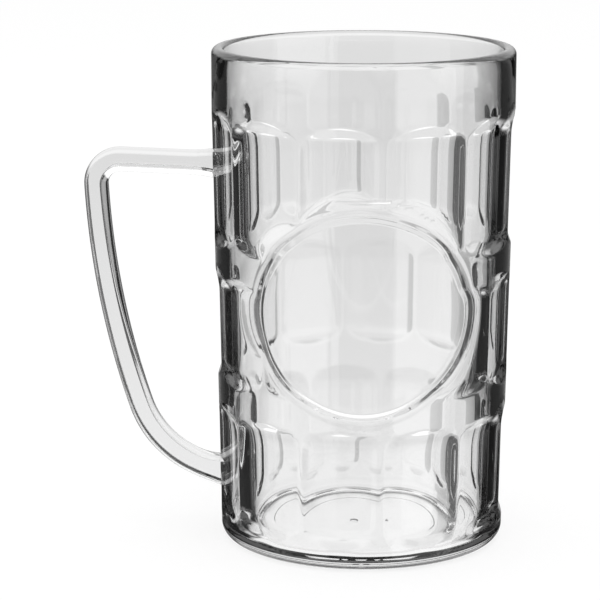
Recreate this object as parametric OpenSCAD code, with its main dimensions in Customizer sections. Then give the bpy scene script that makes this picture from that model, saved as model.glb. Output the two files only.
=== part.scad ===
// Clear beer mug with three staggered tiers of flat panels, a round front medallion and a bar handle.
// Millimetres. The vessel's axis is Z and it stands on z = 0; the medallion faces -Y, the handle -X.

/* [Vessel] */
// Height from the table to the lip
mug_h = 147; // [130:1:165]
// Outer radius of the plain rim band
rim_r = 44.5; // [43:0.5:50]
// Outer radius of the wall's taper, carried down to the table
base_r = 42.1; // [40:0.1:43.5]
// Height of the plain rim band above the taper
rim_band_h = 18.5; // [14:0.5:24]
// Thickness of the wall at the lip
lip_wall_t = 3.7; // [3:0.1:5]
// Thickness of the wall at the floor, on a land
foot_wall_t = 4.4; // [3.6:0.1:6]
// Height of the floor's top above the table
floor_top_h = 3.5; // [3:0.1:8]
// Radius between the floor and the inside wall
floor_fillet_r = 4.5; // [2:0.5:8]
// Radius of the outer edge of the lip
lip_outer_r = 1.5; // [0.8:0.1:1.8]
// Radius of the inner edge of the lip
lip_inner_r = 1; // [0.5:0.1:1.2]

/* [Foot] */
// Radius of the rounded heel
heel_r = 4; // [2:0.5:4.5]
// Radius of the recess under the floor
recess_r = 29; // [20:0.5:34]
// Depth of the recess under the floor
recess_d = 0.8; // [0.3:0.1:1.5]

/* [Panels] */
// Flat panels round each tier
panel_count = 11; // [9:1:16]
// Bottom of the lowest tier above the table
tier_foot_h = 4.3; // [4:0.1:8]
// Height of the lowest tier
low_tier_h = 37.4; // [30:0.5:39]
// Height of the middle tier
mid_tier_h = 32.9; // [26:0.5:36]
// Height of the upper tier
top_tier_h = 39.6; // [30:0.5:42]
// Height of the plain band between two tiers
band_h = 7.4; // [4:0.1:9]
// Width of the land between two panels, at the table
land_w = 0.96; // [0.4:0.1:3]
// Height over which a panel's end slopes to its full depth
scoop_h = 3.6; // [1.5:0.1:6]

/* [Medallion] */
// Height of the medallion's centre above the table
medallion_h = 75; // [68:0.5:82]
// Radius of the medallion at its foot
medallion_r = 31.6; // [22:0.2:33]
// Width of the medallion's rounded edge
medallion_edge_w = 2.9; // [1:0.1:5]
// Rise of the medallion above the lands
medallion_rise = 0.9; // [0.4:0.1:1.6]

/* [Handle] */
// Reach of the handle from the vessel's axis
handle_reach = 82.3; // [76:0.5:92]
// Width of the handle bar, front to rear
handle_w = 10; // [8:0.5:14]
// Thickness of the bar at its middle plane
bar_t = 7.2; // [6.5:0.1:8.5]
// Crown of the bar's outer side
outer_crown = 0.9; // [0.3:0.1:1.5]
// Crown of the bar's inner side at the upper root
inner_crown_top = 2.2; // [1:0.1:2.6]
// Crown of the bar's inner side at the lower root
inner_crown_foot = 0.5; // [0.3:0.1:1.2]
// Size of the small bevel along the bar's four edges
bar_edge = 0.3; // [0.2:0.1:0.6]
// Drop from the lip to the middle of the upper root
upper_root_drop = 34.7; // [28:0.5:42]
// Height of the middle of the lower root above the table
lower_root_h = 18.9; // [14:0.1:26]
// Radius of the bar's upper corner along its middle
corner_r = 7; // [5:0.5:14]
// Radius of the bar's lower bend along its middle
bend_r = 31; // [20:1:36]
// Thickness that each root gains where it meets the wall
root_flare = 1.3; // [0:0.1:2]
// Length of the bar over which a root gains it
root_flare_len = 8; // [3:0.5:12]

/* [Hidden] */

// Angles of a turn, and of the bar's runs against the level or the upright
right_angle = 90;
half_turn = 180;
full_turn = 360;
arm_rise_angle = 2.3;
lean_top_angle = 2.9;
lean_foot_angle = 18.2;
root_fall_angle = 14.3;

// Steps along round stretches
edge_steps = 6;
corner_steps = 9;
upright_steps = 10;
bend_steps = 12;
flare_steps = 5;
crown_steps = 6;
medallion_sides = 60;
round_fn = 96;

// Overrun of every cut past the face that it leaves
overrun = 2;
// How far the bar's ends run into the vessel before they are trimmed to its wall
root_sink = 5;

// Turn of each tier from a land behind the handle, in shares of the pitch
tier_turn_shares = [0, 0.5, 0];
// Medallion's edge as shares of its width, outwards, and of the rise
edge_shares = [[-0.15, 1.12], [0.1, 0.97], [0.35, 0.86], [0.6, 0.67], [0.8, 0.45], [0.93, 0.26], [1, 0.1]];
// How early the inner crown grows on its way up the bar, as a power of the height's share
crown_power = 0.7;
// Height of the cap that trims the disc, as shares of the disc's radius and of the rise
cap_shares = [[0.3, 3.2], [0.6, 3], [0.85, 1.9]];

// Places worked out from the sizes above
shoulder_h = mug_h - rim_band_h;
mid_tier_foot_h = tier_foot_h + low_tier_h + band_h;
top_tier_foot_h = mid_tier_foot_h + mid_tier_h + band_h;
tiers = [[tier_foot_h, low_tier_h], [mid_tier_foot_h, mid_tier_h], [top_tier_foot_h, top_tier_h]];
pitch_angle = full_turn / panel_count;
land_half_angle = asin(land_w / 2 / base_r);
panel_share = cos(pitch_angle / 2 - land_half_angle);
disc_r = medallion_r - medallion_edge_w;

// Radius of the lands at a height: one straight taper from the table to the rim band
function land_r(z) = base_r + (rim_r - base_r) * min(z, shoulder_h) / shoulder_h;

// Radius of the inside wall at a height
function cavity_r(z) =
    base_r - foot_wall_t + (rim_r - lip_wall_t - base_r + foot_wall_t) * z / mug_h;

// Points along an arc about a centre, from one direction to another
function arc(centre, r, from, to, steps) = [
    for (i = [0:steps])
        let (a = from + (to - from) * i / steps)
            centre + r * [cos(a), sin(a)]
];

// The vessel's outside as one solid: heel, taper, rim band and outer lip edge
module outer_form() {
    heel_centre = [land_r(heel_r) - heel_r, heel_r];
    lip_centre = [rim_r - lip_outer_r, mug_h - lip_outer_r];
    rotate_extrude($fn = round_fn)
        polygon(concat(
            [[0, 0]],
            arc(heel_centre, heel_r, -right_angle, 0, edge_steps),
            [[rim_r, shoulder_h]],
            arc(lip_centre, lip_outer_r, 0, right_angle, edge_steps),
            [[0, mug_h]]));
}

// The inside: a tapered bore with a filleted floor and a rounded inner lip edge
module cavity() {
    fillet_h = floor_top_h + floor_fillet_r;
    fillet_centre = [cavity_r(fillet_h) - floor_fillet_r, fillet_h];
    mouth_r = cavity_r(mug_h) + lip_inner_r;
    rotate_extrude($fn = round_fn)
        polygon(concat(
            [[0, floor_top_h]],
            arc(fillet_centre, floor_fillet_r, -right_angle, 0, edge_steps),
            arc([mouth_r, mug_h - lip_inner_r], lip_inner_r, half_turn, right_angle, edge_steps),
            [[mouth_r, mug_h + overrun], [0, mug_h + overrun]]));
}

// The shallow recess under the floor, which leaves a ring for the mug to stand on
module underside_recess() {
    translate([0, 0, -overrun])
        cylinder(r1 = recess_r + overrun, r2 = recess_r - recess_d, h = overrun + recess_d,
                 $fn = round_fn);
}

// One panel's cutter: a flat face that follows the taper, with a sloped scoop at each end
module panel_cut(foot, height) {
    top = foot + height;
    low = foot + scoop_h;
    high = top - scoop_h;
    // The scoops run on along their own slopes until they are outside the wall
    low_run = (land_r(foot) - land_r(low) * panel_share) * overrun / scoop_h;
    high_run = (land_r(top) - land_r(high) * panel_share) * overrun / scoop_h;
    rotate([right_angle, 0, 0])
        linear_extrude(height = 2 * land_r(top) * tan(pitch_angle / 2), center = true)
            polygon([
                [land_r(foot) + low_run, foot - overrun],
                [land_r(low) * panel_share, low],
                [land_r(high) * panel_share, high],
                [land_r(top) + high_run, top + overrun],
            ]);
}

// The panels of all tiers, or only those next to the handle
module panel_cuts(only_near_handle = false) {
    for (t = [0:len(tiers) - 1], k = [0:panel_count - 1]) {
        turn = pitch_angle * (k + 1 / 2 + tier_turn_shares[t]);
        near = min(turn, full_turn - turn) < pitch_angle;
        if (near || !only_near_handle)
            rotate(half_turn + turn)
                panel_cut(tiers[t][0], tiers[t][1]);
    }
}

// The medallion: a disc on the wall's own curve, round when seen from the front, with a rounded edge
module medallion() {
    cap = [for (s = cap_shares) [disc_r * s[0], medallion_rise * s[1]]];
    edge = [for (s = edge_shares) [disc_r + medallion_edge_w * s[0], medallion_rise * s[1]]];
    intersection() {
        rotate_extrude($fn = round_fn)
            polygon([
                [0, 0],
                [base_r + medallion_rise, 0],
                [rim_r + medallion_rise, shoulder_h],
                [0, shoulder_h],
            ]);
        medallion_cap(concat(cap, edge));
    }
}

// A closed cap over the disc, from rings of [distance from the centre, rise above the lands]. It
// stands clear of the disc in the middle, makes the edge, and ends inside the wall's thickness.
module medallion_cap(rings) {
    n = medallion_sides;
    m = len(rings);
    function root_r(z) = (land_r(z) * panel_share + cavity_r(z)) / 2;
    function on_wall(x, z, r) = [x, -sqrt(r * r - x * x), z];
    function ring_point(d, a, rise) =
        let (x = d * cos(a), z = medallion_h + d * sin(a))
            on_wall(x, z, rise > 0 ? land_r(z) + rise : root_r(z));
    function turn(j) = full_turn * j / n;
    top = [for (ring = rings, j = [0:n - 1]) ring_point(ring[0], turn(j), ring[1])];
    root = [for (ring = rings, j = [0:n - 1]) ring_point(ring[0], turn(j), 0)];
    centres = [ring_point(0, 0, rings[0][1]), ring_point(0, 0, 0)];
    first_root = m * n;
    top_centre = 2 * m * n;
    function at(i, j) = i * n + j % n;
    faces = concat(
        [for (j = [0:n - 1]) [top_centre, at(0, j + 1), at(0, j)]],
        [for (i = [0:m - 2], j = [0:n - 1]) each [
            [at(i, j), at(i + 1, j + 1), at(i + 1, j)],
            [at(i, j), at(i, j + 1), at(i + 1, j + 1)]]],
        [for (j = [0:n - 1]) each [
            [at(m - 1, j), first_root + at(m - 1, j + 1), first_root + at(m - 1, j)],
            [at(m - 1, j), at(m - 1, j + 1), first_root + at(m - 1, j + 1)]]],
        [for (i = [0:m - 2], j = [0:n - 1]) each [
            [first_root + at(i, j), first_root + at(i + 1, j), first_root + at(i + 1, j + 1)],
            [first_root + at(i, j), first_root + at(i + 1, j + 1), first_root + at(i, j + 1)]]],
        [for (j = [0:n - 1]) [top_centre + 1, first_root + at(0, j), first_root + at(0, j + 1)]]);
    polyhedron(concat(top, root, centres), faces);
}

// The drinking vessel
module mug_body() {
    color([0.88, 0.92, 0.93, 0.6])
        difference() {
            union() {
                difference() {
                    outer_form();
                    panel_cuts();
                }
                medallion();
            }
            cavity();
            underside_recess();
        }
}

// Directions that the bar's middle line takes, counter-clockwise from +X in the plane of the handle
arm_heading = half_turn - arm_rise_angle;
top_heading = half_turn + right_angle + lean_top_angle;
foot_heading = half_turn + right_angle + lean_foot_angle;
root_heading = full_turn - root_fall_angle;

// Unit step along a heading, and from the middle line to the bar's inner side
function ahead(heading) = [cos(heading), sin(heading)];
function inward(heading) = [-sin(heading), cos(heading)];

// Offset along an arc of radius 1 that turns left from one heading to another
function unit_turn(from, to) = inward(from) - inward(to);

// The middle line in [x, z]: a rising arm, the corner, a long leaning upright, the bend and the root
upper_root_h = mug_h - upper_root_drop;
arm_foot = [-land_r(upper_root_h), upper_root_h];
corner_centre_x = bar_t / 2 + corner_r - handle_reach;
arm_len = (arm_foot.x - corner_centre_x - corner_r * sin(arm_heading)) / cos(arm_rise_angle);
corner_start = arm_foot + arm_len * ahead(arm_heading);
upright_start = corner_start + corner_r * unit_turn(arm_heading, top_heading);
root_foot = [-land_r(lower_root_h), lower_root_h];
upright_turn = unit_turn(top_heading, foot_heading);
bend_turn = bend_r * unit_turn(foot_heading, root_heading);
// The upright's radius is the one that brings the bend's end onto the line of the lower root
across_root = inward(root_heading);
upright_r = (root_foot - upright_start - bend_turn) * across_root / (upright_turn * across_root);
bend_start = upright_start + upright_r * upright_turn;
bend_end = bend_start + bend_turn;
root_len = max(0, root_foot.x - bend_end.x) / cos(root_fall_angle);

// Stations of [point, heading] along one left turn, without its first
function turn_stations(start, r, from, to, steps) = [
    for (i = [1:steps])
        let (heading = from + (to - from) * i / steps)
            [start + r * unit_turn(from, heading), heading]
];

stations = concat(
    [[arm_foot - root_sink * ahead(arm_heading), arm_heading]],
    [for (i = [0:flare_steps])
        [arm_foot + root_flare_len * i / flare_steps * ahead(arm_heading), arm_heading]],
    [[corner_start, arm_heading]],
    turn_stations(corner_start, corner_r, arm_heading, top_heading, corner_steps),
    turn_stations(upright_start, upright_r, top_heading, foot_heading, upright_steps),
    turn_stations(bend_start, bend_r, foot_heading, root_heading, bend_steps),
    [[bend_end + (root_len + root_sink) * ahead(root_heading), root_heading]]);

// What the bar gains in thickness at a point of its middle line, next to the wall
function flare_at(point) =
    let (out = max(0, -point.x - land_r(point.y)))
        root_flare * pow(max(0, 1 - out / root_flare_len), 2);

// Crown of the bar's inner side at a height
function inner_crown(z) =
    let (share = min(1, max(0, (z - lower_root_h) / (upper_root_h - lower_root_h))))
        inner_crown_foot + (inner_crown_top - inner_crown_foot) * pow(share, crown_power);

// One side of the bar's section, from its front bevel over the crown to its rear bevel
function crowned_side(reach, crown) =
    let (side = handle_w / 2, face = reach - crown)
        concat(
            [[side, face - bar_edge]],
            [for (i = [0:crown_steps])
                let (s = 1 - 2 * i / crown_steps)
                    [(side - bar_edge) * s, face + crown * (1 - s * s)]],
            [[-side, face - bar_edge]]);

// The bar's section at a point of its middle line, as [across the width, towards the inner side]
function bar_section(point) =
    let (reach = (bar_t + flare_at(point)) / 2)
        concat(
            crowned_side(reach, inner_crown(point.y)),
            [for (p = crowned_side(reach, outer_crown)) -p]);

// The bar swept along its middle line, with ends inside the vessel
module handle_bar() {
    n = len(bar_section(arm_foot));
    m = len(stations);
    points = [for (st = stations)
        for (p = bar_section(st[0]))
            let (q = st[0] + p.y * inward(st[1]))
                [q.x, p.x, q.y]];
    function at(i, j) = i * n + j % n;
    faces = concat(
        [[for (j = [0:n - 1]) at(0, j)]],
        [for (i = [0:m - 2], j = [0:n - 1]) each [
            [at(i, j), at(i + 1, j), at(i + 1, j + 1)],
            [at(i, j), at(i + 1, j + 1), at(i, j + 1)]]],
        [[for (j = [0:n - 1]) at(m - 1, n - 1 - j)]]);
    polyhedron(points, faces);
}

// The handle, with both roots trimmed to the wall that they sit on
module handle() {
    color([0.84, 0.89, 0.91, 0.6])
        difference() {
            handle_bar();
            difference() {
                outer_form();
                panel_cuts(only_near_handle = true);
            }
        }
}

mug_body();
handle();
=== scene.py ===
from functools import cache
from math import asin, atan2, ceil, cos, hypot, pi, radians, sin, sqrt

import bmesh
import bpy
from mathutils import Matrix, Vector


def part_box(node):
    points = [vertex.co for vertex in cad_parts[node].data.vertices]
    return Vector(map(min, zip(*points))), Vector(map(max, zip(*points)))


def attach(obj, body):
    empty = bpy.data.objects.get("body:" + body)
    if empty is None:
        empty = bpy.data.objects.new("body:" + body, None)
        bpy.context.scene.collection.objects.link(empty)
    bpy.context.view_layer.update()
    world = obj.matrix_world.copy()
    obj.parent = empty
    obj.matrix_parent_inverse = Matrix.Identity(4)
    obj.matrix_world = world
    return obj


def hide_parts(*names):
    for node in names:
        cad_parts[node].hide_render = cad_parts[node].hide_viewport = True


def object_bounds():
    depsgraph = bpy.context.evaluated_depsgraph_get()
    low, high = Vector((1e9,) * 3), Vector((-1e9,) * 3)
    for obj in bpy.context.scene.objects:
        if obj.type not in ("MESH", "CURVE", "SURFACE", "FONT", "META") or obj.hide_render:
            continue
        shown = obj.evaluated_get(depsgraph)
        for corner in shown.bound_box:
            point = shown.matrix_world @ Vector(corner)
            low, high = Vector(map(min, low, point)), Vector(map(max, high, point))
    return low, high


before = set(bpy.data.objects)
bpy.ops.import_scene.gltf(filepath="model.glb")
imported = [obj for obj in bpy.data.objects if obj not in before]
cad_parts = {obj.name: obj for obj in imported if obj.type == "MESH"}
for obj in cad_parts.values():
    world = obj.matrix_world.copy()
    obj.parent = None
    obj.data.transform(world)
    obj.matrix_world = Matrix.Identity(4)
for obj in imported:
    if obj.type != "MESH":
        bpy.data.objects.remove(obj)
cad_low, cad_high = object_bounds()

# The drinking vessel: one clear moulded shell with a plain rim band, three staggered tiers of flat
# panels, a raised medallion at the front, a thin floor and a rounded heel. It is injection moulded in
# a two-part mould through a gate in the middle of the floor, and polished inside and out.
MM = 0.001
body_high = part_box("mug_body")[1]
LIP_H = body_high.z
RIM_R = body_high.x
RIM_BAND_H = 18.5 * MM
SHOULDER_H = LIP_H - RIM_BAND_H
BASE_R = 42.1 * MM
LIP_WALL = 3.7 * MM
FOOT_WALL = 4.4 * MM
FLOOR_TOP = 3.5 * MM
FLOOR_FILLET = 2.2 * MM
LIP_OUTER_EDGE = 2.0 * MM
LIP_INNER_EDGE = 1.4 * MM
HEEL_R = 4.0 * MM

# Its underside: the recess inside the foot ring, the round step left by the mould's insert, the gate.
# FOOT_LOOP is how far inside the heel the foot ring's last row lies, and MARK_EDGE is the spacing of
# the points at the marks' edges.
RECESS_R = 33.3 * MM
RECESS_D = 0.5 * MM
RECESS_EDGE = 0.5 * MM
RECESS_LIP = 0.4 * MM
FOOT_LOOP = 2.0 * MM
INSERT_R = 25.2 * MM
INSERT_RISE = 0.2 * MM
INSERT_SHARES = (0.3, 0.6)
GATE_R = 1.8 * MM
GATE_RISE = 0.5 * MM
MARK_EDGE = 0.2 * MM

# Its panels: eleven in each tier, with the middle tier turned by half a panel. TIERS holds the foot
# and the top of each. The middle of a panel lies at PANEL_SHARE of the lands' radius.
PANELS = 11
PITCH = 2 * pi / PANELS
TIER_TURN_SHARES = (0.0, 0.5, 0.0)
TIERS = ((6.6 * MM, 41.7 * MM), (49.1 * MM, 82.0 * MM), (89.4 * MM, 129.0 * MM))
SCOOP_H = 3.6 * MM
SCOOP_SOFT = 0.9 * MM
LAND_W = 0.96 * MM
PANEL_SHARE = cos(PITCH / 2 - asin(LAND_W / 2 / BASE_R))
ARRIS_SOFT = 0.15 * MM

# Its medallion, from the middle out: disc, step, groove, bank, ring and skirt
MEDALLION_H = 75.0 * MM
DISC_R = 27.6 * MM
STEP_R = 29.3 * MM
GROOVE_R = 30.3 * MM
MEDALLION_R = 31.6 * MM
MEDALLION_RISE = 0.9 * MM
GROOVE_RISE = -0.45 * MM
RING_RISE = 0.12 * MM
SKIRT_SLOPE = 0.47
SKIRT_REACH = 8.0 * MM
STEP_SOFT = 0.12 * MM
SKIRT_SOFT = 0.3 * MM


def land_r(z):
    """Radius of the lands at a height: one straight taper up to the rim band."""
    return BASE_R + (RIM_R - BASE_R) * min(z, SHOULDER_H) / SHOULDER_H


def cavity_r(z):
    """Radius of the inside wall at a height."""
    foot = BASE_R - FOOT_WALL
    return foot + (RIM_R - LIP_WALL - foot) * z / LIP_H


def soft_min(a, b, soft):
    """The lower of two values, with the crease between them rounded."""
    near = max(soft - abs(a - b), 0.0) / soft
    return min(a, b) - near * near * soft / 4


@cache
def tier_faces(z):
    """Radii of the panels' middles at a height, each with its tier's share of a turn."""
    faces = []
    for (foot, top), share in zip(TIERS, TIER_TURN_SHARES):
        if foot - SCOOP_H < z < top + SCOOP_H:
            flat = land_r(z) * PANEL_SHARE
            foot_depth = (land_r(foot) - land_r(foot + SCOOP_H) * PANEL_SHARE) / SCOOP_H
            top_depth = (land_r(top) - land_r(top - SCOOP_H) * PANEL_SHARE) / SCOOP_H
            foot_slope = land_r(foot) - (z - foot) * foot_depth
            top_slope = land_r(top) - (top - z) * top_depth
            face = -soft_min(soft_min(-flat, -foot_slope, SCOOP_SOFT), -top_slope, SCOOP_SOFT)
            faces.append((share, face))
    return faces


def panel_r(turn, z):
    """Radius of the panelled wall: flat panels with sloped scoops at both ends, and narrow lands."""
    radius = land_r(z)
    for share, face in tier_faces(z):
        centre = PITCH * (round(turn / PITCH - 0.5 - share) + 0.5 + share)
        radius = soft_min(radius, face / cos(turn - centre), ARRIS_SOFT)
    return radius


def medallion_rise(d):
    """Rise of the medallion above the lands at a distance from its centre."""
    step = MEDALLION_RISE - (d - DISC_R) * (MEDALLION_RISE - GROOVE_RISE) / (STEP_R - DISC_R)
    disc = soft_min(MEDALLION_RISE, step, STEP_SOFT)
    bank = GROOVE_RISE + (d - STEP_R) * (RING_RISE - GROOVE_RISE) / (GROOVE_R - STEP_R)
    ring = soft_min(bank, RING_RISE, STEP_SOFT)
    skirt = RING_RISE - (d - MEDALLION_R) * SKIRT_SLOPE
    return soft_min(-soft_min(-disc, -ring, STEP_SOFT), skirt, SKIRT_SOFT)


def wall_r(turn, z):
    """Outer radius of the whole wall. Turn is measured from the handle, over the front."""
    radius = panel_r(turn, z)
    d = hypot(radius * cos(turn), z - MEDALLION_H)
    if sin(turn) > 0 and d < MEDALLION_R + SKIRT_REACH:
        # Inside the groove the panels give way, and the medallion alone shapes the wall
        raised = land_r(z) + medallion_rise(d)
        covered = radius - max(GROOVE_R - d, 0.0)
        radius = -soft_min(-covered, -raised, SKIRT_SOFT)
    return radius


# The rows of its mesh: fine at the creases of the scoops, middling beside the medallion, else coarse
ROW_FINE = 0.3 * MM
ROW_MIDDLE = 1.0 * MM
ROW_COARSE = 2.4 * MM
ROW_REACH = 2.0 * MM
PATCH_R = 32.6 * MM
BAND_FOOT = SHOULDER_H + 2.0 * MM
BAND_ROWS = 5
CAVITY_ROWS = 8
FLOOR_RINGS = 5
RECESS_STEPS, HEEL_STEPS, FILLET_STEPS = 3, 22, 9
LIP_OUTER_STEPS, LIP_INNER_STEPS = 7, 6


def arc(centre_r, centre_z, r, start, end, steps):
    """Profile points [radius, height] along an arc."""
    turns = [start + (end - start) * i / steps for i in range(steps + 1)]
    return [(centre_r + r * cos(a), centre_z + r * sin(a)) for a in turns]


def spaced(start, end, count):
    """Evenly spaced values between two ends, without the ends: count steps from end to end."""
    return [start + (end - start) * i / count for i in range(1, count)]


def wall_rows():
    """Heights of the outer wall's rows, closer together at the creases of the scoops."""
    creases = [z for foot, top in TIERS for z in (foot, foot + SCOOP_H, top - SCOOP_H, top)]
    rows = []
    z = HEEL_R + ROW_FINE
    while z < BAND_FOOT:
        rows.append(z)
        near = min(abs(z - crease) for crease in creases)
        widest = ROW_MIDDLE if abs(z - MEDALLION_H) < PATCH_R + ROW_REACH else ROW_COARSE
        z += ROW_FINE + (widest - ROW_FINE) * min(1.0, near / ROW_REACH)
    return rows


heel_centre = land_r(HEEL_R) - HEEL_R
fillet_z = FLOOR_TOP + FLOOR_FILLET
fillet_centre = cavity_r(fillet_z) - FLOOR_FILLET
mouth_r = cavity_r(LIP_H) + LIP_INNER_EDGE
insert_z = RECESS_D + INSERT_RISE
gate_z = insert_z + GATE_RISE
band_rows = spaced(BAND_FOOT, LIP_H - LIP_OUTER_EDGE, BAND_ROWS)
cavity_rows = spaced(LIP_H - LIP_INNER_EDGE, fillet_z, CAVITY_ROWS)
profile = (
    [(0, gate_z), (GATE_R - 2 * MARK_EDGE, gate_z), (GATE_R, insert_z), (GATE_R + MARK_EDGE, insert_z)]
    + [(INSERT_R * share, insert_z) for share in INSERT_SHARES]
    + [(INSERT_R - 2 * MARK_EDGE, insert_z), (INSERT_R - MARK_EDGE, insert_z), (INSERT_R, RECESS_D)]
    + [(INSERT_R + MARK_EDGE, RECESS_D), ((INSERT_R + RECESS_R) / 2, RECESS_D)]
    + arc(RECESS_R - RECESS_EDGE, RECESS_D - RECESS_EDGE, RECESS_EDGE, pi / 2, pi / 5, RECESS_STEPS)
    + [(RECESS_R + RECESS_LIP, 0), (heel_centre - FOOT_LOOP, 0)]
    + arc(heel_centre, HEEL_R, HEEL_R, -pi / 2, 0, HEEL_STEPS)
    + [(land_r(z), z) for z in wall_rows() + band_rows]
    + arc(RIM_R - LIP_OUTER_EDGE, LIP_H - LIP_OUTER_EDGE, LIP_OUTER_EDGE, 0, pi / 2, LIP_OUTER_STEPS)
    + arc(mouth_r, LIP_H - LIP_INNER_EDGE, LIP_INNER_EDGE, pi / 2, pi, LIP_INNER_STEPS)
    + [(cavity_r(z), z) for z in cavity_rows]
    + arc(fillet_centre, fillet_z, FLOOR_FILLET, 0, -pi / 2, FILLET_STEPS)
    + [(r, FLOOR_TOP) for r in spaced(fillet_centre, 0.0, FLOOR_RINGS) + [0.0]]
)

# Its columns: evenly spun, then drawn towards the lands
HALF_PITCH_COLUMNS = 16
COLUMNS = 2 * PANELS * HALF_PITCH_COLUMNS
COLUMN_CROWD = 0.6
MERGE_DIST = 0.001 * MM


def revolve(outline, columns):
    """A closed shell spun about Z from an outline that starts and ends on the axis."""
    bm = bmesh.new()
    verts = [bm.verts.new((-r, 0, z)) for r, z in outline]
    edges = [bm.edges.new(pair) for pair in zip(verts, verts[1:])]
    bmesh.ops.spin(
        bm, geom=verts + edges, cent=(0, 0, 0), axis=(0, 0, 1), dvec=(0, 0, 0),
        angle=2 * pi, steps=columns, use_merge=True, use_duplicate=False,
    )
    bmesh.ops.remove_doubles(bm, verts=bm.verts, dist=MERGE_DIST)
    bmesh.ops.recalc_face_normals(bm, faces=bm.faces)
    return bm


def finished(bm, name, material):
    """The mesh as a smooth-shaded object at the origin, with its material."""
    mesh = bpy.data.meshes.new(name)
    bm.to_mesh(mesh)
    bm.free()
    mesh.polygons.foreach_set("use_smooth", [True] * len(mesh.polygons))
    mesh.materials.append(material)
    made = bpy.data.objects.new(name, mesh)
    bpy.context.scene.collection.objects.link(made)
    return made


def crowd_turn(turn):
    """Moves a column towards the nearest half pitch, where the lands of one tier or another lie."""
    cell = PITCH / 2
    return turn - COLUMN_CROWD * cell / (2 * pi) * sin(2 * pi * turn / cell)


def shape_wall(bm):
    """Presses the panels and the medallion into the spun shell's outer wall."""
    for vert in bm.verts:
        x, y, z = vert.co
        r = hypot(x, y)
        if r < cavity_r(z) + LIP_WALL / 2 or not HEEL_R < z < LIP_H - LIP_OUTER_EDGE:
            continue
        turn = crowd_turn(atan2(-y, -x) % (2 * pi))
        r = wall_r(turn, z)
        vert.co = (-r * cos(turn), -r * sin(turn), z)


# The medallion's own mesh: rings about its centre, in place of the wall's rows and columns. The gap
# round it is filled with triangles, and CAVITY_CLEAR tells the outer wall from the cavity's.
SPOKES = 360
DISC_RINGS = 16
EDGE_RINGS = 28
HUB_R = DISC_R / DISC_RINGS
EDGE_START_R = DISC_R - 0.8 * MM
PATCH_GAP = 0.25 * MM
CAVITY_CLEAR = 1.0 * MM
FRONT_PASSES = 3


def front_point(d, turn):
    """The point of the front wall at a distance and a turn round the medallion's centre."""
    x, z = d * cos(turn), MEDALLION_H + d * sin(turn)
    r = land_r(z)
    for _ in range(FRONT_PASSES):
        r = wall_r(atan2(sqrt(r * r - x * x), -x), z)
    return Vector((x, -sqrt(r * r - x * x), z))


def on_patch(vert):
    """Whether a vertex lies where the medallion's own rings will be."""
    return vert.co.y < 0 and hypot(vert.co.x, vert.co.z - MEDALLION_H) < PATCH_R + PATCH_GAP


def on_outside(face):
    """Whether a face is one of the outer wall's."""
    return all(hypot(v.co.x, v.co.y) > cavity_r(v.co.z) + CAVITY_CLEAR for v in face.verts)


def patch_rings():
    """Radii of the medallion's rings: coarse over the disc, and close together across its step."""
    edge = spaced(EDGE_START_R, PATCH_R, EDGE_RINGS)
    return spaced(0.0, EDGE_START_R, DISC_RINGS) + [EDGE_START_R] + edge + [PATCH_R]


def add_medallion(bm):
    """Cuts the wall open round the medallion and fills the hole with rings about its centre."""
    doomed = [f for f in bm.faces if on_outside(f) and any(on_patch(v) for v in f.verts)]
    bmesh.ops.delete(bm, geom=doomed, context="FACES")
    hole = [e for e in bm.edges if e.is_boundary]
    hub = bmesh.ops.create_circle(bm, cap_ends=True, cap_tris=True, segments=SPOKES, radius=HUB_R)
    rim = [v for v in hub["verts"] if v.co.length > HUB_R / 2]
    middle = next(v for v in hub["verts"] if v not in rim)
    middle.co = front_point(0, 0)
    spoke = {v: atan2(v.co.y, v.co.x) for v in rim}
    for v in rim:
        v.co = front_point(HUB_R, spoke[v])
    edges = list(dict.fromkeys(e for v in rim for e in v.link_edges if e.is_boundary))
    for d in patch_rings()[1:]:
        made = bmesh.ops.extrude_edge_only(bm, edges=edges)["geom"]
        old = spoke
        spoke = {}
        for v in (g for g in made if isinstance(g, bmesh.types.BMVert)):
            spoke[v] = next(old[e.other_vert(v)] for e in v.link_edges if e.other_vert(v) in old)
            v.co = front_point(d, spoke[v])
        edges = [g for g in made if isinstance(g, bmesh.types.BMEdge)]
    bmesh.ops.triangle_fill(
        bm, edges=hole + edges, use_beauty=True, use_dissolve=False, normal=(0, -1, 0),
    )
    bmesh.ops.recalc_face_normals(bm, faces=bm.faces)


class Wire:
    """One value in a node tree. Arithmetic on it adds the Math nodes that work it out."""

    def __init__(self, tree, socket=None):
        self.tree, self.socket = tree, socket

    def node(self, kind, settings=(), inputs=(), output=0):
        """Adds a node, sets it up, wires or fills its sockets and gives one output as a Wire."""
        made = self.tree.nodes.new(kind)
        for name, value in dict(settings).items():
            setattr(made, name, value)
        for key, value in dict(inputs).items():
            if isinstance(value, Wire):
                self.tree.links.new(value.socket, made.inputs[key])
            else:
                made.inputs[key].default_value = value
        return Wire(self.tree, made.outputs[output] if made.outputs else None)

    def math(self, operation, *values):
        """A Math node on numbers and Wires."""
        return self.node("ShaderNodeMath", {"operation": operation}, dict(enumerate(values)))

    def between(self, low, high):
        """0 below low, 1 above high, and a smooth step from one to the other."""
        ends = {"Value": self, "From Min": low, "From Max": high}
        return self.node("ShaderNodeMapRange", {"interpolation_type": "SMOOTHSTEP"}, ends)

    def __add__(self, other):
        return self.math("ADD", self, other)

    def __radd__(self, other):
        return self.math("ADD", other, self)

    def __sub__(self, other):
        return self.math("SUBTRACT", self, other)

    def __rsub__(self, other):
        return self.math("SUBTRACT", other, self)

    def __mul__(self, other):
        return self.math("MULTIPLY", self, other)

    def __rmul__(self, other):
        return self.math("MULTIPLY", other, self)


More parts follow.
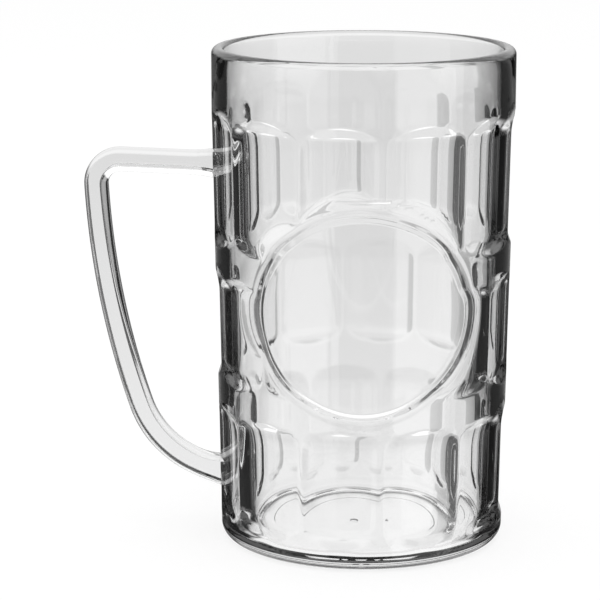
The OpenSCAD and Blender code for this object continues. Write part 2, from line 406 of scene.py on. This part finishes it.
# Its plastic: all but colourless, with faint flow waves under the polish and a grey cloud in its depth
PLASTIC_TINT = 0.995
PLASTIC_IOR = 1.54
FLOW_SCALE = 45.0
FLOW_STRETCH = 0.35
HAZE_SCALE = 160.0
HAZE_ROUGHNESS = 0.012
CLOUD_TINT = 0.9
CLOUDING = 30.0
VESSEL_RIPPLE = 0.02 * MM


def clear_plastic(name, ripple):
    """Clear polished plastic. Ripple is the height of the faint flow waves under the polish."""
    material = bpy.data.materials.new(name)
    material.use_nodes = True
    tree = material.node_tree
    tree.nodes.clear()
    wire = Wire(tree)
    place = wire.node("ShaderNodeTexCoord", output="Object")
    stretch = wire.node("ShaderNodeMapping", {}, {"Vector": place, "Scale": (1.0, 1.0, FLOW_STRETCH)})
    flow = wire.node("ShaderNodeTexNoise", {}, {"Vector": stretch, "Scale": FLOW_SCALE, "Detail": 1.0})
    haze = wire.node("ShaderNodeTexNoise", {}, {"Vector": place, "Scale": HAZE_SCALE, "Detail": 2.0})
    bump = wire.node("ShaderNodeBump", {}, {"Height": flow, "Strength": 1.0, "Distance": ripple})
    shader = wire.node("ShaderNodeBsdfPrincipled", {}, {
        "Base Color": (PLASTIC_TINT, PLASTIC_TINT, PLASTIC_TINT, 1),
        "Roughness": haze * HAZE_ROUGHNESS,
        "IOR": PLASTIC_IOR,
        "Transmission Weight": 1.0,
        "Normal": bump,
    })
    depth = wire.node("ShaderNodeVolumeAbsorption", {}, {
        "Color": (CLOUD_TINT, CLOUD_TINT, CLOUD_TINT, 1),
        "Density": CLOUDING,
    })
    wire.node("ShaderNodeOutputMaterial", {}, {"Surface": shader, "Volume": depth})
    return material


vessel = revolve(profile, COLUMNS)
shape_wall(vessel)
add_medallion(vessel)
mug = finished(vessel, "clear_vessel", clear_plastic("clear_vessel_plastic", VESSEL_RIPPLE))
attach(mug, "root")
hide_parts("mug_body")

# The handle: a clear bar with a crowned section and crisp edges, bent from a rising arm through a
# tight corner into a long leaning upright and a wide lower bend. It is moulded in line with the
# mould's parting plane, and its two roots flare a little where they run into the wall.
HANDLE_REACH = -cad_low.x
BAR_W = 10.0 * MM
BAR_T = 7.2 * MM
BAR_EDGE = 0.25 * MM
OUTER_CROWN = 0.9 * MM
INNER_CROWN_TOP = 2.2 * MM
INNER_CROWN_FOOT = 0.5 * MM
CROWN_POWER = 0.7
UPPER_ROOT_DROP = 34.7 * MM
UPPER_ROOT_H = LIP_H - UPPER_ROOT_DROP
LOWER_ROOT_H = 18.9 * MM
CORNER_R = 7.0 * MM
BEND_R = 31.0 * MM
ROOT_FLARE = 1.3 * MM
ROOT_FLARE_LEN = 8.0 * MM
ROOT_RUN = 3.0 * MM
ROOT_SINK = 0.3 * MM
ARM_HEADING = radians(177.7)
TOP_HEADING = radians(272.9)
FOOT_HEADING = radians(288.2)
ROOT_HEADING = radians(345.7)
HANDLE_RIPPLE = 0.01 * MM

# Its mesh: the places of the flat sides' points, the steps round an edge and over a crown, and the
# spacing of the sections along the bar
SIDE_SHARES = (0.0, 0.45, 0.8, 0.95)
EDGE_STEPS = 4
CROWN_STEPS = 14
BAR_STEP = 0.8 * MM
TURN_STEPS = 16
SEAT_PASSES = 4


def ahead(heading):
    """Unit step along a heading in the handle's plane, as [x, 0, z]."""
    return Vector((cos(heading), 0, sin(heading)))


def inward(heading):
    """Unit step from the bar's middle line to its inner side."""
    return Vector((-sin(heading), 0, cos(heading)))


def crowned_side(reach, crown):
    """One side of the bar's section: half of both flat faces, rounded edges and the crown between."""
    side = BAR_W / 2
    face = reach - crown
    flat = [(side, (face - BAR_EDGE) * share) for share in SIDE_SHARES]
    corner = [
        (side - BAR_EDGE + BAR_EDGE * cos(a), face - BAR_EDGE + BAR_EDGE * sin(a))
        for a in [pi / 2 * i / EDGE_STEPS for i in range(EDGE_STEPS)]
    ]
    shares = [i / CROWN_STEPS for i in range(1, 2 * CROWN_STEPS)]
    top = [((side - BAR_EDGE) * (1 - s), face + crown * (1 - (1 - s) ** 2)) for s in shares]
    back = [(-u, v) for u, v in reversed(flat[1:] + corner)]
    return flat + corner + [(side - BAR_EDGE, face)] + top + [(BAR_EDGE - side, face)] + back


def bar_section(point):
    """The bar's section at a point of its middle line, as [across the bar, towards its inner side]."""
    out = max(-point.x - land_r(point.z), 0.0)
    reach = (BAR_T + ROOT_FLARE * max(0.0, 1 - out / ROOT_FLARE_LEN) ** 2) / 2
    share = min(max((point.z - LOWER_ROOT_H) / (UPPER_ROOT_H - LOWER_ROOT_H), 0.0), 1.0)
    inner_crown = INNER_CROWN_FOOT + (INNER_CROWN_TOP - INNER_CROWN_FOOT) * share ** CROWN_POWER
    outer = [(-u, -v) for u, v in crowned_side(reach, OUTER_CROWN)]
    return crowned_side(reach, inner_crown) + outer


def turned(point, radius, start, end):
    """Where a left turn from a point ends."""
    return point + radius * (inward(start) - inward(end))


# Its middle line: the upright's radius brings the bend's end onto the line of the lower root
arm_foot = Vector((-land_r(UPPER_ROOT_H), 0, UPPER_ROOT_H))
root_foot = Vector((-land_r(LOWER_ROOT_H), 0, LOWER_ROOT_H))
arm_start = arm_foot - ahead(ARM_HEADING) * ROOT_RUN
corner_x = BAR_T / 2 + CORNER_R - HANDLE_REACH
arm_len = (corner_x + CORNER_R * sin(ARM_HEADING) - arm_foot.x) / cos(ARM_HEADING)
corner_start = arm_foot + ahead(ARM_HEADING) * arm_len
upright_start = turned(corner_start, CORNER_R, ARM_HEADING, TOP_HEADING)
upright_turn = inward(TOP_HEADING) - inward(FOOT_HEADING)
bend_turn = BEND_R * (inward(FOOT_HEADING) - inward(ROOT_HEADING))
across_root = inward(ROOT_HEADING)
upright_r = (root_foot - upright_start - bend_turn).dot(across_root) / upright_turn.dot(across_root)
bend_start = turned(upright_start, upright_r, TOP_HEADING, FOOT_HEADING)
bend_end = bend_start + bend_turn
root_len = (root_foot.x - bend_end.x) / cos(ROOT_HEADING) + ROOT_RUN


def run_stations(point, length, heading):
    """Stations of [point, heading] straight ahead, without the first."""
    steps = ceil(length / BAR_STEP)
    return [(point + ahead(heading) * length * i / steps, heading) for i in range(1, steps + 1)]


def turn_stations(point, radius, start, end):
    """Stations of [point, heading] round a left turn, without the first."""
    steps = max(ceil(radius * (end - start) / BAR_STEP), TURN_STEPS)
    headings = [start + (end - start) * i / steps for i in range(1, steps + 1)]
    return [(turned(point, radius, start, heading), heading) for heading in headings]


def sweep_bar(stations):
    """Extrudes the bar's end face from station to station, each time to the section that it has there."""
    bm = bmesh.new()
    place = bm.verts.layers.int.new("place")
    point, heading = stations[0]
    verts = [bm.verts.new((0, 0, 0)) for _ in bar_section(point)]
    for i, vert in enumerate(verts):
        vert[place] = i
    end = bm.faces.new(verts)
    bmesh.ops.reverse_faces(bm, faces=[end])
    for step, (point, heading) in enumerate(stations):
        if step:
            made = bmesh.ops.extrude_face_region(bm, geom=[end])["geom"]
            if step > 1:
                bmesh.ops.delete(bm, geom=[end], context="FACES_ONLY")
            end = next(g for g in made if isinstance(g, bmesh.types.BMFace))
        section = bar_section(point)
        for vert in end.verts:
            across, inwards = section[vert[place]]
            vert.co = point + Vector((0, across, 0)) + inward(heading) * inwards
    bmesh.ops.recalc_face_normals(bm, faces=bm.faces)
    return bm


def wall_x(y, z):
    """Where the vessel's outer wall lies on the handle's side, at a place across and a height."""
    x = -land_r(z)
    for _ in range(SEAT_PASSES):
        turn = atan2(-y, -x) % (2 * pi)
        x = -sqrt(wall_r(turn, z) ** 2 - y * y)
    return x


def seat_roots(bm):
    """Seats the bar's two ends a hair inside the vessel's wall."""
    for vert in bm.verts:
        seat = wall_x(vert.co.y, vert.co.z) + ROOT_SINK
        vert.co.x = min(vert.co.x, seat)
    bmesh.ops.remove_doubles(bm, verts=bm.verts, dist=MERGE_DIST)


bar = sweep_bar(
    [(arm_start, ARM_HEADING)]
    + run_stations(arm_start, arm_len + ROOT_RUN, ARM_HEADING)
    + turn_stations(corner_start, CORNER_R, ARM_HEADING, TOP_HEADING)
    + turn_stations(upright_start, upright_r, TOP_HEADING, FOOT_HEADING)
    + turn_stations(bend_start, BEND_R, FOOT_HEADING, ROOT_HEADING)
    + run_stations(bend_end, root_len, ROOT_HEADING)
)
seat_roots(bar)
handle = finished(bar, "clear_handle", clear_plastic("clear_handle_plastic", HANDLE_RIPPLE))
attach(handle, "root")
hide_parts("handle")

# The floor: a plain white sheet that runs out of sight, so that only the mug's soft shadow shows.
# The camera sees it as lit paper with its own even white mixed in, and the clear wall sees past it.
FLOOR_SIZE = 12.0
FLOOR_SQUARES = 4
FLOOR_DROP = 0.1 * MM
PAPER_WHITE = 0.96
FLOOR_EVEN_SHARE = 0.8
sheet = bmesh.new()
bmesh.ops.create_grid(sheet, x_segments=FLOOR_SQUARES, y_segments=FLOOR_SQUARES, size=FLOOR_SIZE)
bmesh.ops.translate(sheet, verts=sheet.verts, vec=(0, 0, -FLOOR_DROP))


def white_sheet():
    """Matt white paper. Only the camera sees its even white."""
    material = bpy.data.materials.new("white_sheet")
    material.use_nodes = True
    tree = material.node_tree
    tree.nodes.clear()
    wire = Wire(tree)
    camera_ray = wire.node("ShaderNodeLightPath", output="Is Camera Ray")
    paper = wire.node("ShaderNodeBsdfDiffuse", {}, {"Color": (PAPER_WHITE, PAPER_WHITE, PAPER_WHITE, 1)})
    even = wire.node("ShaderNodeEmission", {}, {"Color": (1, 1, 1, 1), "Strength": 1.0})
    mixed = wire.node("ShaderNodeMixShader", {}, {0: camera_ray * FLOOR_EVEN_SHARE, 1: paper, 2: even})
    wire.node("ShaderNodeOutputMaterial", {}, {"Surface": mixed})
    return material


floor = finished(sheet, "floor", white_sheet())
floor.visible_glossy = False
floor.visible_transmission = False

# The light: a white studio. Light that has only passed through the wall finds a bright pane behind the
# mug with dark cards beside it, and more panes at its sides and corners. Mirrored light finds a narrow
# pane, dark cards and two softboxes in front, and from its third mirroring on one even dim level.
world = bpy.data.worlds.new("studio")
# It isn't sampled as a lamp is, because what it gives depends on the light's path
world.cycles.sampling_method = "NONE"
bpy.context.scene.world = world
world.use_nodes = True
world.node_tree.nodes.clear()
sky = Wire(world.node_tree)
parts = sky.node("ShaderNodeSeparateXYZ", {}, {"Vector": sky.node("ShaderNodeTexCoord")})
east, north, up = (Wire(world.node_tree, parts.socket.node.outputs[axis]) for axis in "XYZ")
azimuth = sky.math("ARCTAN2", east, north)
height = sky.math("ARCSINE", up)
off_back = sky.math("ABSOLUTE", azimuth)

# The pane and its cards, by the turn from the pane's middle, and its tilt by height
PANE_LEVEL = 0.75
PANE_LEFT = radians(-28.5)
PANE_FADE_LEFT = radians(-12.0)
PANE_LEFT_LEVEL = 0.50
PANE_STEP = radians(10.5)
PANE_STEP_LEVEL = 0.52
PANE_RIGHT = radians(21.3)
PANE_RIGHT_LEVEL = 0.36
PANE_TILT_HEIGHTS = (radians(-15.0), radians(-8.0))
PANE_TILT_LEVELS = (1.22, 1.04)
CARD_NEAR_LEVEL = 0.045
CARD_NEAR_END = radians(38.0)
CARD_LEVEL = 0.01
EDGE_SOFT = radians(1.0)

# The panes at the sides and corners, by the turn off the back. An edge or a fade is [start, full], and
# a corner is [low, high] between soft ends.
REAR_EDGE = (radians(118.0), radians(120.0))
SIDE_PANE_FADE = (radians(68.0), radians(76.0))
SIDE_PANE_LEVEL = 0.6
FRONT_CORNER = (radians(40.0), radians(50.0))
FRONT_CORNER_LEVEL = 0.42
REAR_CORNER = (radians(123.0), radians(145.0))
REAR_CORNER_LEVEL = 0.62
CORNER_SOFT = radians(3.0)

# What mirrored light finds: degrees off the back with the level there, and the lights in front
SLOT_LEVELS = (
    (0.0, 0.72), (4.0, 0.6), (9.0, 0.34), (13.0, 0.12), (20.0, 0.045), (28.0, 0.012), (66.0, 0.008),
)
MIRROR_SIDE_FADE = (radians(68.0), radians(80.0))
MIRROR_SIDE_LEVEL = 0.25
FRONT_EDGE = (radians(99.0), radians(101.0))
RIGHT_SOFTBOX = (radians(101.0), radians(154.0))
RIGHT_SOFTBOX_LEVEL = 1.2
LEFT_SOFTBOX = (radians(-154.0), radians(-101.0))
LEFT_SOFTBOX_LEVEL = 0.6
ROOM_LEVEL = 0.2

# The pale dome over it all, as [foot, full height, level], and the pale ground, which is full below
# GROUND_EDGE and gone above it
STRAIGHT_DOME = (radians(6.0), radians(12.0), 1.2)
MIRROR_DOME = (radians(-3.0), radians(11.0), 1.05)
TOP_FOOT = radians(50.0)
TOP_LEVEL = 0.75
GROUND_EDGE = (radians(-34.0), radians(-28.0))
STRAIGHT_GROUND_LEVEL = 0.8
MIRROR_GROUND_LEVEL = 1.0

# Light for matt things, and light that has been mirrored more often than DEEP
AMBIENT = 0.95
DEEP = 2.5
DEEP_LEVEL = 0.12


def ramp(value, low, high, low_level, high_level):
    """A straight ramp between two levels."""
    ends = {"Value": value, "From Min": low, "From Max": high, "To Min": low_level, "To Max": high_level}
    return sky.node("ShaderNodeMapRange", {}, ends)


def pane(turn):
    """Level of the pane and of the cards beside it, at a turn from the pane's middle."""
    left = ramp(turn, PANE_LEFT, PANE_FADE_LEFT, PANE_LEFT_LEVEL, PANE_LEVEL)
    right = ramp(turn, PANE_STEP, PANE_RIGHT, PANE_STEP_LEVEL, PANE_RIGHT_LEVEL)
    step = turn.between(PANE_STEP - EDGE_SOFT, PANE_STEP)
    lit = left * (1 - step) + right * step
    inside = turn.between(PANE_LEFT - EDGE_SOFT, PANE_LEFT)
    inside *= 1 - turn.between(PANE_RIGHT, PANE_RIGHT + EDGE_SOFT)
    near = 1 - sky.math("ABSOLUTE", turn).between(CARD_NEAR_END, CARD_NEAR_END + EDGE_SOFT)
    card = CARD_LEVEL + near * (CARD_NEAR_LEVEL - CARD_LEVEL)
    return lit * inside + card * (1 - inside)


def slot():
    """Level of the narrow pane that mirrored light finds, falling off evenly to both sides."""
    level = SLOT_LEVELS[0][1]
    for (start, high), (end, low) in zip(SLOT_LEVELS, SLOT_LEVELS[1:]):
        level = level + ramp(off_back, radians(start), radians(end), 0.0, low - high)
    return level


def span(turn, ends, soft):
    """1 inside a span of turns and 0 outside it, with soft ends."""
    low, high = ends
    return turn.between(low - soft, low) * (1 - turn.between(high, high + soft))


def capped(level, dome, ground_level):
    """A level round the horizon with the pale dome above it and the pale ground below it."""
    dome_foot, dome_full, dome_level = dome
    above = height.between(dome_foot, dome_full)
    top = ramp(height, TOP_FOOT, pi / 2, dome_level, TOP_LEVEL)
    below = 1 - height.between(*GROUND_EDGE)
    level = level * (1 - above) + top * above
    return level * (1 - below) + ground_level * below


rear = off_back.between(*REAR_EDGE)
around = pane(azimuth) * (1 - rear) + pane(sky.math("WRAP", azimuth + pi, pi, -pi)) * rear
around = around * ramp(height, *PANE_TILT_HEIGHTS, *PANE_TILT_LEVELS)
start, full = SIDE_PANE_FADE
side_pane = off_back.between(start, full) * (1 - off_back.between(pi - full, pi - start))
around = around + side_pane * SIDE_PANE_LEVEL
around = around + span(off_back, FRONT_CORNER, CORNER_SOFT) * FRONT_CORNER_LEVEL
around = around + span(off_back, REAR_CORNER, CORNER_SOFT) * REAR_CORNER_LEVEL
straight = capped(around, STRAIGHT_DOME, STRAIGHT_GROUND_LEVEL)

room = slot() + off_back.between(*MIRROR_SIDE_FADE) * MIRROR_SIDE_LEVEL
front = off_back.between(*FRONT_EDGE)
room = room * (1 - front) + ROOM_LEVEL * front
room = room + span(azimuth, RIGHT_SOFTBOX, EDGE_SOFT) * (RIGHT_SOFTBOX_LEVEL - ROOM_LEVEL)
room = room + span(azimuth, LEFT_SOFTBOX, EDGE_SOFT) * (LEFT_SOFTBOX_LEVEL - ROOM_LEVEL)
mirrored = capped(room, MIRROR_DOME, MIRROR_GROUND_LEVEL)

paths = sky.node("ShaderNodeLightPath").socket.node
camera_ray, glossy_ray, clear_ray, bounces = (
    Wire(world.node_tree, paths.outputs[name])
    for name in ("Is Camera Ray", "Is Glossy Ray", "Is Transmission Ray", "Glossy Depth")
)
reflected = sky.math("MINIMUM", bounces, 1.0)
studio = straight * (1 - reflected) + mirrored * reflected
deep = sky.math("GREATER_THAN", bounces, DEEP)
studio = studio * (1 - deep) + DEEP_LEVEL * deep
through = sky.math("MAXIMUM", glossy_ray, clear_ray)
level = studio * through + AMBIENT * (1 - through)
level = level * (1 - camera_ray) + camera_ray
backdrop = sky.node("ShaderNodeBackground", {}, {"Color": (1, 1, 1, 1), "Strength": level})
sky.node("ShaderNodeOutputWorld", {}, {"Surface": backdrop})

# The softbox overhead, in metres and watts: it lights the floor and isn't seen in the plastic
LAMP_SIZE = (1.4, 1.2)
LAMP_PLACE = (-0.1, -0.1, 1.3)
LAMP_POWER = 7.0
lamp_data = bpy.data.lights.new("overhead_softbox", "AREA")
lamp_data.shape = "RECTANGLE"
lamp_data.size, lamp_data.size_y = LAMP_SIZE
lamp_data.energy = LAMP_POWER
lamp = bpy.data.objects.new("overhead_softbox", lamp_data)
lamp.location = LAMP_PLACE
lamp.visible_glossy = False
lamp.visible_transmission = False
bpy.context.scene.collection.objects.link(lamp)

# The camera: in front of the medallion, a little above the rim, looking down a little. Its focal length
# is in pixels of a square picture, fitted to the ellipses of the rim and the base.
CAMERA_D = 760 * MM
CAMERA_H = 233.7 * MM
CAMERA_PITCH = radians(12.07)
CAMERA_YAW = radians(1.40)
FOCAL_PX = 2611
FRAME_PX = 600
SENSOR = 36
CLIP = (0.05, 50)
CLEAR_BOUNCES = 32
OTHER_BOUNCES = 16
camera_data = bpy.data.cameras.new("camera")
camera_data.sensor_width = SENSOR
camera_data.lens = FOCAL_PX * SENSOR / FRAME_PX
camera_data.clip_start, camera_data.clip_end = CLIP
camera = bpy.data.objects.new("camera", camera_data)
camera.location = (0, -CAMERA_D, CAMERA_H)
camera.rotation_euler = (pi / 2 - CAMERA_PITCH, 0, CAMERA_YAW)
bpy.context.scene.collection.objects.link(camera)
bpy.context.scene.camera = camera

scene = bpy.context.scene
scene.view_settings.view_transform = "Standard"
scene.cycles.max_bounces = CLEAR_BOUNCES
scene.cycles.transmission_bounces = CLEAR_BOUNCES
scene.cycles.glossy_bounces = OTHER_BOUNCES
scene.cycles.transparent_max_bounces = OTHER_BOUNCES
